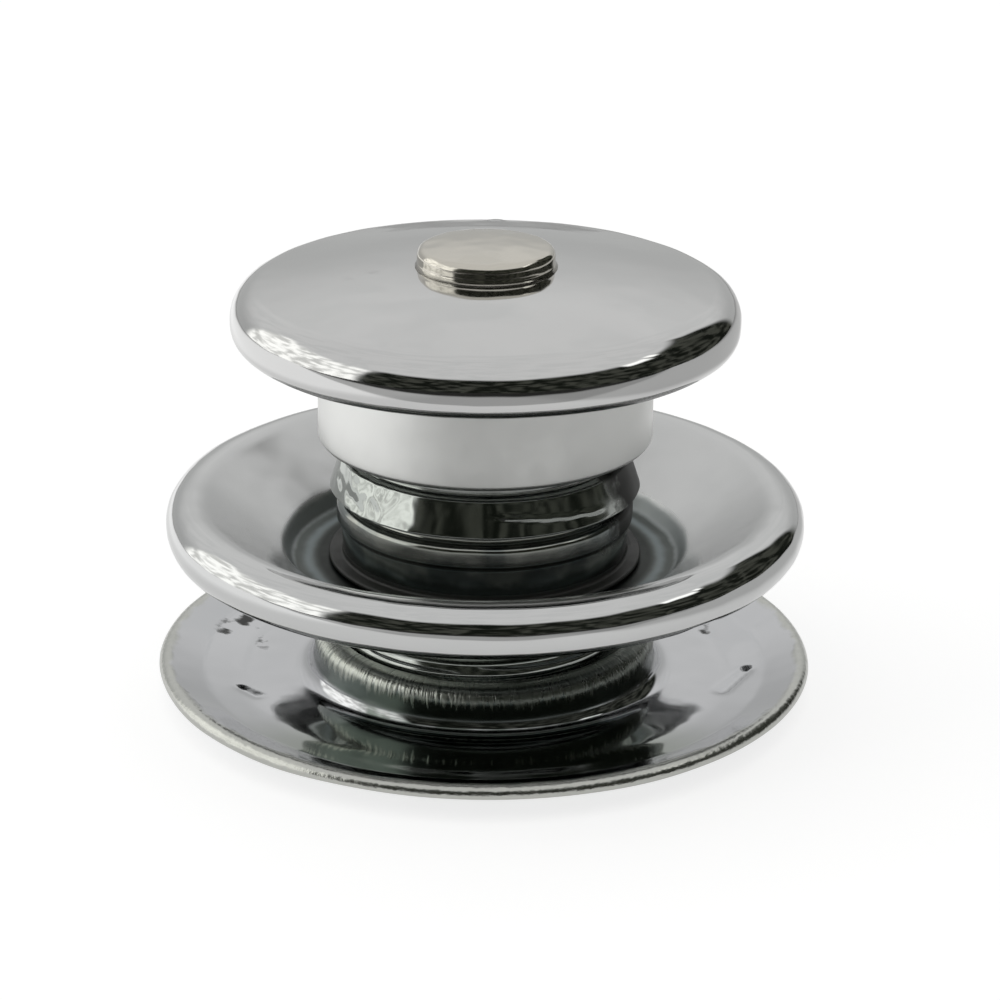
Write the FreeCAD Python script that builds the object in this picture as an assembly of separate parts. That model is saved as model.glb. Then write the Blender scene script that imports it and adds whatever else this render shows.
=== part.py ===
import FreeCAD, Part
import math
import os

# Upper half of a pull-release snap fastener, in millimetres, +Z up.
# The origin is on the axis, in the plane of the flat ring that the lower flange stands on.
# Lifting the knob raises the ball cage against its spring, and the balls move out along the
# barrel's cone and let go of the stud. The lower flange screws up the barrel to clamp cloth.

# Clearances
RUNNING = 0.05          # radial, between a shaft and its hole
SLEEVE_RUNNING = 0.10   # radial, between the knob's neck and the barrel's waist
RESTING = 0.03          # between faces that come to rest on each other
BALL_RUNNING = 0.02     # round a ball, in its seat and off the cone
SMALL_EDGE = 0.08

# Lower flange
LOWER_R = 9.25
LOWER_FLOOR = 0.42
RIM_BOTTOM = 0.66
RIM_THICKNESS = 0.48
RIM_ROUND = 0.30
RIM_EDGE = 0.12
KNEE_INSET = 1.25
KNEE_RISE = 0.20
KNEE_BEND = 1.0
STAND_R = 6.9
DISH_BEND = 4.0
COLLAR_TOP = 1.80
COLLAR_WALL = 0.64
COLLAR_ENTRY = 0.90
COLLAR_ROOT = 0.55
LIP_ROUND = 0.50

# Barrel, from its lower end up
THREAD_R = 4.15
THREAD_WALL = 1.153
BARREL_BOTTOM = 0.95
BARREL_CHAMFER = 0.18
MOUTH_R = 2.55
MOUTH_LIP = 0.35
THREAD_LENGTH = 2.12
STAKE_WIDTH = 0.25
STAKE_HEIGHT = 0.35
SHOULDER_WIDTH = 0.25
SHOULDER_HEIGHT = 0.15
THROAT_DEPTH = 0.14
THROAT_HEIGHT = 0.95
BEAD_HEIGHT = 0.66
BEAD_ROUND = 0.20
GROOVE_DEPTH = 0.31
GROOVE_HEIGHT = 0.32
BAND_WIDTH = 0.20
BAND_HEIGHT = 1.00
BAND_TAPER = 0.32
BAND_ROUND = 0.12
WAIST_WALL = 0.44
BUSH_STEP = 0.20
BUSH_HEIGHT = 0.90

# Upper flange, its heights counted from its seat on the barrel
UPPER_R = 8.96
UPPER_SHEET = 0.42
SHEET_EDGE = 0.12
FUNNEL_FOOT_WIDTH = 1.15
FUNNEL_FOOT_BEND = 0.12
FUNNEL_WIDTH = 0.29
FUNNEL_LIP_HEIGHT = 0.90
FUNNEL_LIP_BEND = 0.10
UPPER_CORNER_HEIGHT = 2.975
CROWN_BEND = 0.75
UPPER_SKIRT_HEIGHT = 0.86
CURL = 0.80
CURL_BEND = 0.75

# Ball lock
BALLS = 6
BALL_R = 0.60
BALL_HEIGHT = 1.77
LIFT = 1.50
BALL_TRAVEL = 0.27
CONE_FOOT_DROP = 1.40
SEAT_LIP = 0.04
SEAT_LAND = 0.05
CAGE_RELIEF = 0.20
CAGE_LENGTH = 4.62
CAGE_ROOF = 0.55
UNDERCUT_RISE = 0.35

# Return spring
SPRING_WIRE_R = 0.20
SPRING_TURNS = 4.5
SPRING_SIDE_GAP = 0.45

# Knob and its pin
NECK_GAP = 0.48
NECK_WALL = 0.86
NECK_LENGTH = 2.77
NECK_ROUND = 0.16
KNOB_R = 7.03
KNOB_EDGE = 1.46
KNOB_LOWER_ROUND = 0.56
KNOB_UPPER_ROUND = 0.90
KNOB_DOME = 0.60
KNOB_DOME_BEND = 40.0
KNOB_HOLLOW = 0.73
KNOB_TOP_GAP = 0.20
SPOT_FACE_DEPTH = 0.03
PIN_HEAD_R = 1.90
PIN_HEAD_HEIGHT = 0.60
PIN_HEAD_ROUND = 0.20
PIN_DOME = 0.07
PIN_FOOT_GAP = 0.25
PIN_FOOT_HEIGHT = 0.55
SHANK_R = 1.30
TENON_R = 1.00

# Ball lock sizes that follow, from the barrel's thread inwards
CONE_SLOPE = BALL_TRAVEL / LIFT
BALL_SEAT_R = BALL_R + BALL_RUNNING
SEAT_OPENING_R = BALL_SEAT_R - SEAT_LIP
BALL_TO_CONE = BALL_SEAT_R / math.cos(math.atan(CONE_SLOPE))
GUIDE_R = THREAD_R - THREAD_WALL
CAGE_R = GUIDE_R - RUNNING
BALL_CIRCLE_R = GUIDE_R + CONE_FOOT_DROP * CONE_SLOPE - BALL_TO_CONE
LOCK_BORE_R = BALL_CIRCLE_R - math.sqrt(BALL_SEAT_R ** 2 - SEAT_OPENING_R ** 2)
STUD_BORE_R = LOCK_BORE_R - CAGE_RELIEF
CHAMBER_R = BALL_CIRCLE_R + BALL_SEAT_R + BALL_RUNNING
SPRING_R = CHAMBER_R - SPRING_SIDE_GAP - SPRING_WIRE_R

# Pin sizes that follow
PIN_FOOT_R = LOCK_BORE_R - PIN_FOOT_GAP
SHANK_HOLE_R = SHANK_R + RUNNING

# Barrel, flange and knob sizes that follow
COLLAR_BORE_R = THREAD_R + RUNNING
FLANGE_HOLE_R = THREAD_R + 2 * RUNNING
FUNNEL_FOOT_R = FLANGE_HOLE_R + FUNNEL_FOOT_WIDTH
FUNNEL_LIP_R = FUNNEL_FOOT_R + FUNNEL_WIDTH
WAIST_R = CHAMBER_R + WAIST_WALL
BUSH_R = CHAMBER_R + BUSH_STEP
NECK_BORE_R = WAIST_R + SLEEVE_RUNNING
NECK_R = NECK_BORE_R + NECK_WALL

# Heights that follow
CAGE_BOTTOM = BARREL_BOTTOM + MOUTH_LIP + RESTING
CAGE_TOP = CAGE_BOTTOM + CAGE_LENGTH
BALL_Z = CAGE_BOTTOM + BALL_HEIGHT
STAKE_TOP = BARREL_BOTTOM + THREAD_LENGTH + STAKE_HEIGHT
FLANGE_SEAT_Z = STAKE_TOP + RESTING
SHOULDER_BOTTOM = FLANGE_SEAT_Z + UPPER_SHEET + RESTING
SHOULDER_TOP = SHOULDER_BOTTOM + SHOULDER_HEIGHT
BEAD_BOTTOM = SHOULDER_TOP + THROAT_HEIGHT
BEAD_TOP = BEAD_BOTTOM + BEAD_HEIGHT
BAND_BOTTOM = BEAD_TOP + GROOVE_HEIGHT
BAND_TOP = BAND_BOTTOM + BAND_HEIGHT
NECK_BOTTOM = BAND_TOP + NECK_GAP
KNOB_UNDERSIDE = NECK_BOTTOM + NECK_LENGTH
KNOB_CORNER_Z = KNOB_UNDERSIDE + KNOB_EDGE
KNOB_TOP = KNOB_CORNER_Z + KNOB_DOME
KNOB_CEILING = KNOB_UNDERSIDE + KNOB_HOLLOW
BARREL_TOP = KNOB_CEILING - KNOB_TOP_GAP
BUSH_BOTTOM = BARREL_TOP - BUSH_HEIGHT
PIN_SEAT_Z = KNOB_TOP - SPOT_FACE_DEPTH


def vector(point):
    """A point of an outline, given as (radius, height, ...), in the XZ plane."""
    return FreeCAD.Vector(point[0], 0, point[1])


def bend_radius(point):
    """Corner radius of an outline's point, which a sharp corner leaves out."""
    return max(point[2], 0) if len(point) > 2 else 0


def unit(start, end):
    """Direction from one point to another."""
    direction = end - start
    return direction.normalize()


def rounded(points):
    """Start, middle and end of the arc at each corner. Arcs that meet on a side share its length."""
    places = [vector(point) for point in points]
    count = len(points)
    halves = []
    wanted = []
    for i in range(count):
        before = unit(places[i], places[i - 1])
        after = unit(places[i], places[(i + 1) % count])
        halves.append(before.getAngle(after) / 2)
        wanted.append(bend_radius(points[i]) / math.tan(halves[i]))
    arcs = []
    for i in range(count):
        reach = wanted[i]
        for j in (i - 1, (i + 1) % count):
            side = (places[j] - places[i]).Length
            reach = min(reach, side * wanted[i] / max(wanted[i] + wanted[j], side))
        before = unit(places[i], places[i - 1])
        after = unit(places[i], places[(i + 1) % count])
        radius = reach * math.tan(halves[i])
        inward = (before + after).normalize() * (radius / math.sin(halves[i]) - radius)
        arcs.append((places[i] + before * reach, places[i] + inward, places[i] + after * reach))
    return arcs


def outline(points):
    """Closed face through (radius, height, corner radius) points."""
    arcs = rounded(points)
    edges = []
    for i in range(len(points)):
        start, middle, end = arcs[i]
        if bend_radius(points[i]) > 0:
            edges.append(Part.Arc(start, middle, end).toShape())
        following = arcs[(i + 1) % len(points)][0]
        if not end.isEqual(following, 1e-6):
            edges.append(Part.LineSegment(end, following).toShape())
    return Part.Face(Part.Wire(edges))


def turned(points):
    """Solid of revolution about the Z axis."""
    return outline(points).revolve(FreeCAD.Vector(0, 0, 0), FreeCAD.Vector(0, 0, 1), 360)


def parallel(path, distance):
    """The same path a distance to its left, or to its right if that is negative, with its bends."""
    places = [vector(point) for point in path]
    lefts = []
    for i in range(len(path) - 1):
        along = unit(places[i], places[i + 1])
        lefts.append(FreeCAD.Vector(-along.z, 0, along.x))
    first = places[0] + lefts[0] * distance
    moved = [(first.x, first.z)]
    for i in range(1, len(path) - 1):
        mitre = (lefts[i - 1] + lefts[i]).normalize()
        place = places[i] + mitre * (distance / mitre.dot(lefts[i]))
        turn = math.copysign(1, lefts[i - 1].x * lefts[i].z - lefts[i - 1].z * lefts[i].x)
        moved.append((place.x, place.z, path[i][2] - distance * turn))
    last = places[-1] + lefts[-1] * distance
    moved.append((last.x, last.z))
    return moved


def pressed_sheet(path, thickness, edge):
    """Turned sheet along a path, to its left, or to its right if the thickness is negative."""
    other = parallel(path, thickness)
    near = [path[0] + (edge,)] + path[1:-1] + [path[-1] + (edge,)]
    far = [other[0] + (edge,)] + other[1:-1] + [other[-1] + (edge,)]
    return turned(near + far[::-1])


def cylinder(radius, bottom, top):
    """Upright cylinder on the axis."""
    return Part.makeCylinder(radius, top - bottom, FreeCAD.Vector(0, 0, bottom))


def cone_r(z):
    """Radius of the barrel's ball cone at a height."""
    return BALL_CIRCLE_R + BALL_TO_CONE + (z - BALL_Z) * CONE_SLOPE


def lower_flange():
    """Dished ring with a drawn collar, which is threaded inside and screws onto the barrel."""
    collar_r = COLLAR_BORE_R + COLLAR_WALL
    return turned([
        (COLLAR_BORE_R, 0, COLLAR_ENTRY),
        (STAND_R, 0, DISH_BEND),
        (LOWER_R, RIM_BOTTOM, RIM_EDGE),
        (LOWER_R, RIM_BOTTOM + RIM_THICKNESS, RIM_ROUND),
        (LOWER_R - KNEE_INSET, LOWER_FLOOR + KNEE_RISE, KNEE_BEND),
        (STAND_R, LOWER_FLOOR, DISH_BEND),
        (collar_r, LOWER_FLOOR, COLLAR_ROOT),
        (collar_r, COLLAR_TOP, LIP_ROUND),
        (COLLAR_BORE_R, COLLAR_TOP, SMALL_EDGE),
    ])


def upper_flange():
    """Ring with a rolled edge and a funnel, held on the barrel between shoulder and staked bead."""
    path = [
        (FLANGE_HOLE_R, FLANGE_SEAT_Z + UPPER_SHEET),
        (FUNNEL_FOOT_R, FLANGE_SEAT_Z + UPPER_SHEET, FUNNEL_FOOT_BEND),
        (FUNNEL_LIP_R, FLANGE_SEAT_Z + FUNNEL_LIP_HEIGHT, FUNNEL_LIP_BEND),
        (UPPER_R, FLANGE_SEAT_Z + UPPER_CORNER_HEIGHT, CROWN_BEND),
        (UPPER_R, FLANGE_SEAT_Z + UPPER_SKIRT_HEIGHT, CURL_BEND),
        (UPPER_R - CURL, FLANGE_SEAT_Z + UPPER_SKIRT_HEIGHT),
    ]
    return pressed_sheet(path, -UPPER_SHEET, SHEET_EDGE)


def barrel():
    """Turned housing: thread below, flange seat, bead, tapered band, waist, and the ball cone inside."""
    mouth_top = BARREL_BOTTOM + MOUTH_LIP
    cone_foot = BALL_Z - CONE_FOOT_DROP
    cone_top = BALL_Z + LIFT + BALL_R / 2
    stake_r = THREAD_R + STAKE_WIDTH
    groove_r = FLANGE_HOLE_R - RUNNING
    shoulder_r = THREAD_R + SHOULDER_WIDTH
    throat_r = THREAD_R - THROAT_DEPTH
    neck_groove_r = THREAD_R - GROOVE_DEPTH
    band_r = THREAD_R + BAND_WIDTH
    return turned([
        (MOUTH_R, BARREL_BOTTOM, SMALL_EDGE),
        (THREAD_R - BARREL_CHAMFER, BARREL_BOTTOM),
        (THREAD_R, BARREL_BOTTOM + BARREL_CHAMFER),
        (THREAD_R, STAKE_TOP - STAKE_HEIGHT, SMALL_EDGE),
        (stake_r, STAKE_TOP - STAKE_HEIGHT, SMALL_EDGE),
        (stake_r, STAKE_TOP, SMALL_EDGE),
        (groove_r, STAKE_TOP),
        (groove_r, SHOULDER_BOTTOM),
        (shoulder_r, SHOULDER_BOTTOM, SMALL_EDGE),
        (shoulder_r, SHOULDER_TOP, SMALL_EDGE),
        (throat_r, SHOULDER_TOP, SMALL_EDGE),
        (throat_r, BEAD_BOTTOM),
        (THREAD_R, BEAD_BOTTOM, BEAD_ROUND),
        (THREAD_R, BEAD_TOP, BEAD_ROUND),
        (neck_groove_r, BEAD_TOP),
        (neck_groove_r, BAND_BOTTOM),
        (band_r, BAND_BOTTOM, BAND_ROUND),
        (band_r - BAND_TAPER, BAND_TOP, BAND_ROUND),
        (WAIST_R, BAND_TOP, SMALL_EDGE),
        (WAIST_R, BARREL_TOP, SMALL_EDGE),
        (BUSH_R, BARREL_TOP),
        (BUSH_R, BUSH_BOTTOM),
        (CHAMBER_R, BUSH_BOTTOM),
        (CHAMBER_R, cone_top + UNDERCUT_RISE),
        (cone_r(cone_top), cone_top),
        (GUIDE_R, cone_foot),
        (GUIDE_R, mouth_top),
        (MOUTH_R, mouth_top),
    ])


def guide_bush():
    """Ring pressed into the barrel's top, which guides the pin and backs the spring."""
    return turned([
        (SHANK_HOLE_R, BUSH_BOTTOM, SMALL_EDGE),
        (BUSH_R, BUSH_BOTTOM),
        (BUSH_R, BARREL_TOP, SMALL_EDGE),
        (SHANK_HOLE_R, BARREL_TOP, SMALL_EDGE),
    ])


def ball_directions():
    """Outward direction of each ball from the axis."""
    steps = [2 * math.pi * (i + 0.5) / BALLS for i in range(BALLS)]
    return [FreeCAD.Vector(math.cos(step), math.sin(step), 0) for step in steps]


def ball_centre(outward):
    """Centre of the ball in one direction, pushed in as far as its seat lets it."""
    return outward * BALL_CIRCLE_R + FreeCAD.Vector(0, 0, BALL_Z)


def ball_cage():
    """Cup that slides in the barrel: a guide bore for the stud below, and above it the ball seats."""
    relief_top = BALL_Z - BALL_SEAT_R - SEAT_LAND
    cup = turned([
        (STUD_BORE_R, CAGE_BOTTOM, SMALL_EDGE),
        (CAGE_R, CAGE_BOTTOM, SMALL_EDGE),
        (CAGE_R, CAGE_TOP, SMALL_EDGE),
        (SHANK_HOLE_R, CAGE_TOP),
        (SHANK_HOLE_R, CAGE_TOP - CAGE_ROOF),
        (LOCK_BORE_R, CAGE_TOP - CAGE_ROOF),
        (LOCK_BORE_R, relief_top),
        (STUD_BORE_R, relief_top - CAGE_RELIEF),
    ])
    for outward in ball_directions():
        centre = ball_centre(outward)
        hole = Part.makeCylinder(BALL_SEAT_R, CAGE_R, centre, outward)
        cup = cup.cut(hole.fuse(Part.makeSphere(BALL_SEAT_R, centre)))
    return cup


def lock_ball(outward):
    """One steel ball in its seat."""
    return Part.makeSphere(BALL_R, ball_centre(outward))


def return_spring():
    """Compression spring between the cage's roof and the guide bush."""
    bottom = CAGE_TOP + SPRING_WIRE_R + RESTING
    height = BUSH_BOTTOM - SPRING_WIRE_R - RESTING - bottom
    helix = Part.makeHelix(height / SPRING_TURNS, height, SPRING_R)
    section = Part.makeCircle(SPRING_WIRE_R, FreeCAD.Vector(SPRING_R, 0, 0), FreeCAD.Vector(0, 1, 0))
    coil = Part.Wire(helix.Edges).makePipeShell([Part.Wire([section])], True, True)
    coil.translate(FreeCAD.Vector(0, 0, bottom))
    return coil


def pull_knob():
    """Turned disc with a rounded edge and a low dome, and the hollow neck that runs over the waist."""
    blank = turned([
        (0, KNOB_CEILING),
        (NECK_BORE_R, KNOB_CEILING),
        (NECK_BORE_R, NECK_BOTTOM, SMALL_EDGE),
        (NECK_R, NECK_BOTTOM, NECK_ROUND),
        (NECK_R, KNOB_UNDERSIDE, SMALL_EDGE),
        (KNOB_R, KNOB_UNDERSIDE, KNOB_LOWER_ROUND),
        (KNOB_R, KNOB_CORNER_Z, KNOB_UPPER_ROUND),
        ((KNOB_R - KNOB_UPPER_ROUND) / 2, KNOB_TOP, KNOB_DOME_BEND),
        (0, KNOB_TOP),
    ])
    bored = blank.cut(cylinder(TENON_R, KNOB_CEILING, KNOB_TOP))
    return bored.cut(cylinder(PIN_HEAD_R + RUNNING, PIN_SEAT_Z, KNOB_TOP))


def knob_pin():
    """Rivet with a low head on the knob, a shoulder under the knob's roof and a foot inside the cage."""
    foot_top = CAGE_TOP - CAGE_ROOF - RESTING
    head_top = PIN_SEAT_Z + PIN_HEAD_HEIGHT
    return turned([
        (0, foot_top - PIN_FOOT_HEIGHT),
        (PIN_FOOT_R, foot_top - PIN_FOOT_HEIGHT, SMALL_EDGE),
        (PIN_FOOT_R, foot_top, SMALL_EDGE),
        (SHANK_R, foot_top),
        (SHANK_R, KNOB_CEILING),
        (TENON_R, KNOB_CEILING),
        (TENON_R, PIN_SEAT_Z),
        (PIN_HEAD_R, PIN_SEAT_Z, SMALL_EDGE),
        (PIN_HEAD_R, head_top - PIN_DOME, PIN_HEAD_ROUND),
        (0, head_top),
    ])


def pieces():
    """Every piece of the fastener, by name."""
    made = {
        "lower_flange": lower_flange(),
        "upper_flange": upper_flange(),
        "barrel": barrel(),
        "guide_bush": guide_bush(),
        "ball_cage": ball_cage(),
        "return_spring": return_spring(),
        "pull_knob": pull_knob(),
        "knob_pin": knob_pin(),
    }
    for number, outward in enumerate(ball_directions(), start=1):
        made["lock_ball_%d" % number] = lock_ball(outward)
    return made


os.makedirs("parts", exist_ok=True)
for name, shape in pieces().items():
    shape.exportStep("parts/%s.step" % name)
    print(name, shape.isValid(), len(shape.Solids), round(shape.Volume, 3))
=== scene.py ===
import math

import bmesh
import bpy
import numpy as np
from mathutils import Matrix, Vector, noise


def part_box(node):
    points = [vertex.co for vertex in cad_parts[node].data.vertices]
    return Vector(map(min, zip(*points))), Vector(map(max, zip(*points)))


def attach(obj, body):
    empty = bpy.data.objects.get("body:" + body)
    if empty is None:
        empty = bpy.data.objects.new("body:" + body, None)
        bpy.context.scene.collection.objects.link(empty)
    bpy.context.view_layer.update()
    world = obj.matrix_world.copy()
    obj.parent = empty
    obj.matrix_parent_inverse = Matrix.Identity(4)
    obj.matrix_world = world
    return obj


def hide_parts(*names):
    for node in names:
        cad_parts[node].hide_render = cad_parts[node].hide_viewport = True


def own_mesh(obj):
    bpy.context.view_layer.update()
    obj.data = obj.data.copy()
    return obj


# Looks of a chrome pull-release snap fastener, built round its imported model.
# Outlines are (radius, height, corner radius) points in millimetres. Meshes are in metres.
# Azimuth is 0 towards the camera and grows to the right.

MM = 0.001
TURNS_AROUND = 320
LINE_STEP = 0.14
ARC_STEP = math.radians(9)
SMALL_EDGE = 0.08
ON_AXIS = 0.0008

# Camera, matched to the photograph's circles
CAMERA_DISTANCE = 92.5
CAMERA_ELEVATION = math.radians(23.8)
CAMERA_AIM_Z = 1.0
CAMERA_ROLL = 0.006
FOCAL_PIXELS = 3226.7
IMAGE_PIXELS = 1000
AIM_PIXEL = (484.93, 645.2)
SENSOR = 36.0

# Lower flange
LOWER_FLOOR = 0.42
RIM_BOTTOM = 0.66
RIM_THICKNESS = 0.48
RIM_ROUND = 0.30
RIM_EDGE = 0.12
KNEE_INSET = 1.25
KNEE_RISE = 0.20
KNEE_BEND = 1.0
STAND_R = 6.9
DISH_BEND = 4.0
COLLAR_BORE_R = 4.20
COLLAR_R = 4.84
COLLAR_ENTRY = 0.90
COLLAR_ROOT = 0.55
LIP_ROUND = 0.50

# Upper flange, its heights counted from its seat
SHEET = 0.42
SHEET_EDGE = 0.12
FLANGE_HOLE_R = 4.25
FUNNEL_FOOT_R = 5.40
FUNNEL_FOOT_BEND = 0.30
FUNNEL_LIP_R = 5.69
FUNNEL_LIP_HEIGHT = 0.90
FUNNEL_LIP_BEND = 0.55
CORNER_HEIGHT = 2.975
RIM_BEND = 0.75
SKIRT_HEIGHT = 0.86
CURL = 0.80

# Barrel, its heights counted from its lower end
THREAD_R = 4.15
MOUTH_R = 2.55
BARREL_CHAMFER = 0.18
STAKE_R = 4.40
STAKE_BOTTOM = 2.12
STAKE_TOP = 2.47
SHOULDER_R = 4.40
SHOULDER_BOTTOM = 2.95
SHOULDER_TOP = 3.10
THROAT_R = 4.01
BEAD_BOTTOM = 4.05
BEAD_TOP = 4.71
BEAD_ROUND = 0.20
GROOVE_R = 3.84
BAND_R = 4.35
BAND_TAPER = 0.32
BAND_BOTTOM = 5.03
BAND_TOP = 6.03
BAND_ROUND = 0.12
BAND_RINGS = 18
WAIST_R = 3.70
CHAMBER_R = 3.26
BUSH_R = 3.46
BUSH_HEIGHT = 0.90
CONE_TOP = (3.57, 3.95)
CONE_TOP_RISE = 0.35
CONE_FOOT = (2.997, 0.75)
MOUTH_LIP = 0.35

# Thread
PITCH = 0.5
THREAD_DEPTH = 0.27
THREAD_FADE = 0.30

# Knob and pin
NECK_BORE_R = 3.80
NECK_R = 4.66
NECK_LENGTH = 2.77
NECK_ROUND = 0.16
KNOB_EDGE = 1.46
KNOB_LOWER_ROUND = 0.56
KNOB_UPPER_ROUND = 0.90
KNOB_DOME_BEND = 40.0
KNOB_HOLLOW = 0.73
KNOB_DOME_RISE = 0.10
PIN_HEAD_R = 1.90
PIN_HEAD_ROUND = 0.24
PIN_DOME = 0.14
PIN_DOME_BEND = 7.5
PIN_FLARE = 0.06
PIN_FLARE_HEIGHT = 0.10
PIN_FOOT_R = 2.15
PIN_FOOT_HEIGHT = 0.55
SHANK_R = 1.30
TENON_R = 1.00

# Return spring
SPRING_R = 2.61
SPRING_WIRE_R = 0.20
SPRING_TURNS = 4.5
COIL_STEPS = 72
WIRE_SIDES = 16

# Relief. Waves are layers of (height, size). A knock is (from, to, width, depth), and its two ends
# are (azimuth, radius, height).
NEAR = 0.02
FACING_UP = 0.3
STAND_FLAT = 0.3
LOWER_WAVES = ((0.03, 2.6),)
LOWER_KNOCKS = (
    ((75, 6.95, 0.45), (86, 7.50, 0.5), 0.16, 0.10),
    ((-70, 6.75, 0.45), (-75, 7.05, 0.45), 0.12, 0.06),
)
UPPER_EVEN = 0.2
UPPER_WAVES_FADE = 2
UPPER_WAVES = ((0.03, 2.8), (0.008, 0.8))
UPPER_KNOCKS = (((40, 8.5, 4.36), (44, 8.5, 4.38), 0.22, 0.10),)
BAND_MARGIN = 0.05
BAND_WAVES = ((0.025, 0.9), (0.02, 2.4))
HAMMERED_AT = -56
HAMMERED_REACH = 30
HAMMERED_FADE = 0.3
HAMMERED_WAVES = ((0.05, 0.34),)
STREAK_Z = 6.60
STREAK_SLOPE = -0.006
STREAK_TURN = (2, 50)
STREAK_FADE = 5
STREAK_RISE = 0.03
STREAK_WIDTH = 0.05
STREAK_WAVES = ((0.04, 0.5),)
KNOB_WAVES = ((0.02, 2.8), (0.006, 0.8))
KNOB_WAVES_FADE = 1.5
BURR = (0.27, 6.20, 12.0)
BURR_RISE = 0.10
BURR_WIDTH = 0.16
PIN_WAVES = ((0.012, 0.45), (0.01, 1.3))
PIN_WAVES_FADE = 0.2

# Metals. Tones are linear red, green and blue, and roughness is (lowest, highest). A noise's scale is
# per metre. A fade is (where it starts, where it is full). A span is (from, to, softness), in
# millimetres or in degrees of azimuth. A ragged edge is (amount, scale).
TONE_SCALE = 420
GRAIN_SCALE = 1500
WAVE_SCALE = 650
NOISE_SPAN = (0.3, 0.7)
# Matt black for real specks, also used as painted shade and painted dark reflections
GRIME_AND_SHADE_TONE = (0.012, 0.013, 0.010)
GRIME_AND_SHADE_DULL = 0.35
SPOT_RAGGED = 0.9
SPOT_SCALE = 5000
BRUSH_AROUND = 1.3
BRUSH_ACROSS = 2.0
BRUSH_SPAN = (0.5, 0.7)
BRUSH_RELIEF = 0.03
# Dark tone of the brushed strokes, also used as painted shade on the lip's front
BRUSH_AND_SHADE_TONE = (0.20, 0.22, 0.20)
CHROME_ROUGHNESS = (0.05, 0.09)
SEAT_ABOVE = (3.5, 3.6)

KNOB_TONES = ((0.585, 0.585, 0.58), (0.555, 0.555, 0.555))
KNOB_WAVE = 0.012
NECK_FADE = (10.25, 10.10)
NECK_TONE = (0.70, 0.705, 0.69)
NECK_DULL = 0.26
SCRATCH_TURN = (-95, -60, 6)
SCRATCH_R = (2.9, 3.8, 0.3)
SCRATCH_LINES = (900, 0.55, 0.70)
SCRATCH_SHARE = 0.35
SCRATCH_TONE = (0.30, 0.30, 0.30)
BURR_SIZE = 0.17
KNOB_ABOVE = (11.2, 11.3)

UPPER_TONES = ((0.58, 0.583, 0.58), (0.545, 0.55, 0.55))
FLANGE_WAVE = 0.02
UPPER_RAGGED = (0.02, 1500)
CROWN_FADE = (8.25, 7.85)
CROWN_DULL = 0.17
# Painted shade in the recess round the barrel, darker in rings towards the hole, with a paler painted
# reflection ring
RECESS_FADE = (5.78, 5.60)
RECESS_BELOW = (4.55, 4.4)
RECESS_SHADE_TONE = (0.36, 0.385, 0.385)
RECESS_DULL = 0.22
FUNNEL_FADE = (5.46, 5.30)
FUNNEL_SHADE_TONE = (0.10, 0.112, 0.105)
REFLECTION_RING = (4.85, 5.10, 0.12)
REFLECTION_RING_TONE = (0.20, 0.23, 0.235)
HOLE_FADE = (4.90, 4.62)
HOLE_SHADE_TONE = (0.02, 0.024, 0.021)
SPECK = (5.18, 6.95, 0.14)
CROWN_ABOVE = (5.2, 5.3)

LOWER_TONES = ((0.55, 0.555, 0.565), (0.51, 0.515, 0.53))
LOWER_ROUGHNESS = (0.05, 0.10)
LOWER_RAGGED = (0.10, 900)
# Painted shade over the front of the dish
FRONT_TURN = (-50, 48, 12)
FRONT_R = (5.5, 8.1, 0.3)
FRONT_SHADE_TONE = (0.36, 0.385, 0.35)
# Painted dark reflections of the upper flange's edge, in matt black blotches on the dish
DARK_REFLECTIONS = (((-118, -100, 5), (6.2, 8.0, 0.2)), ((105, 116, 3), (6.85, 7.25, 0.1)))
DARK_REFLECTION_BLOTCHES = (1100, 0.55, 0.64)
# Painted shade on the collar's wall and, at the front, its root
WALL_FADE = (5.15, 4.95)
WALL_Z = (0.80, 1.52, 0.10)
WALL_SHADE_TONE = (0.10, 0.12, 0.11)
WALL_DULL = 0.14
ROOT_R = (4.9, 5.7, 0.12)
ROOT_RAGGED = (8.0, 900)
ROOT_TURN = (-44, 40, 9)
ROOT_BELOW = (1.0, 0.9)
ROOT_SHADE_TONE = (0.15, 0.17, 0.155)
STROKES_AROUND = 0.8
STROKES_UP = 1.2
LIP_FADE = (5.0, 4.9)
LIP_ABOVE = (1.20, 1.62)
LIP_TONE = (0.50, 0.52, 0.47)
LIP_DULL = 0.20
LIP_RAGGED = (12.0, 500)
LIP_SHADED_TURN = (-25, 25)
LIP_SHADED_SHARE = 0.7
RIM_FADE = (8.80, 8.98)
RIM_TONE = (0.50, 0.505, 0.475)
RIM_DULL = 0.16
RIM_SCALE = 4200
RIM_RELIEF = 0.022

BARREL_TONES = ((0.46, 0.48, 0.46), (0.34, 0.36, 0.34))
BARREL_ROUGHNESS = (0.07, 0.14)
# Painted shade and painted reflections on the barrel below the band, darker at its foot
THROAT_FADE = (5.98, 5.90)
THROAT_REFLECTION_BLOTCHES = (700, 0.40, 0.60)
THROAT_SHADE_TONES = ((0.20, 0.22, 0.215), (0.36, 0.37, 0.34))
THROAT_DULL = 0.07
FOOT_RAGGED = (0.12, 1200)
FOOT_FADE = (4.75, 4.35)
FOOT_SHADE_TONE = (0.085, 0.095, 0.088)
# Matt black painted shade low on the barrel, in the recess
LOW_SHADE_Z = (3.5, 4.2, 0.08)
# Matt black painted shade on the barrel's right side, under the knob
RIGHT_RAGGED = (6.0, 1500)
RIGHT_TURN = (60, 150, 7)
RIGHT_ABOVE = (4.6, 5.0)

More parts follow.
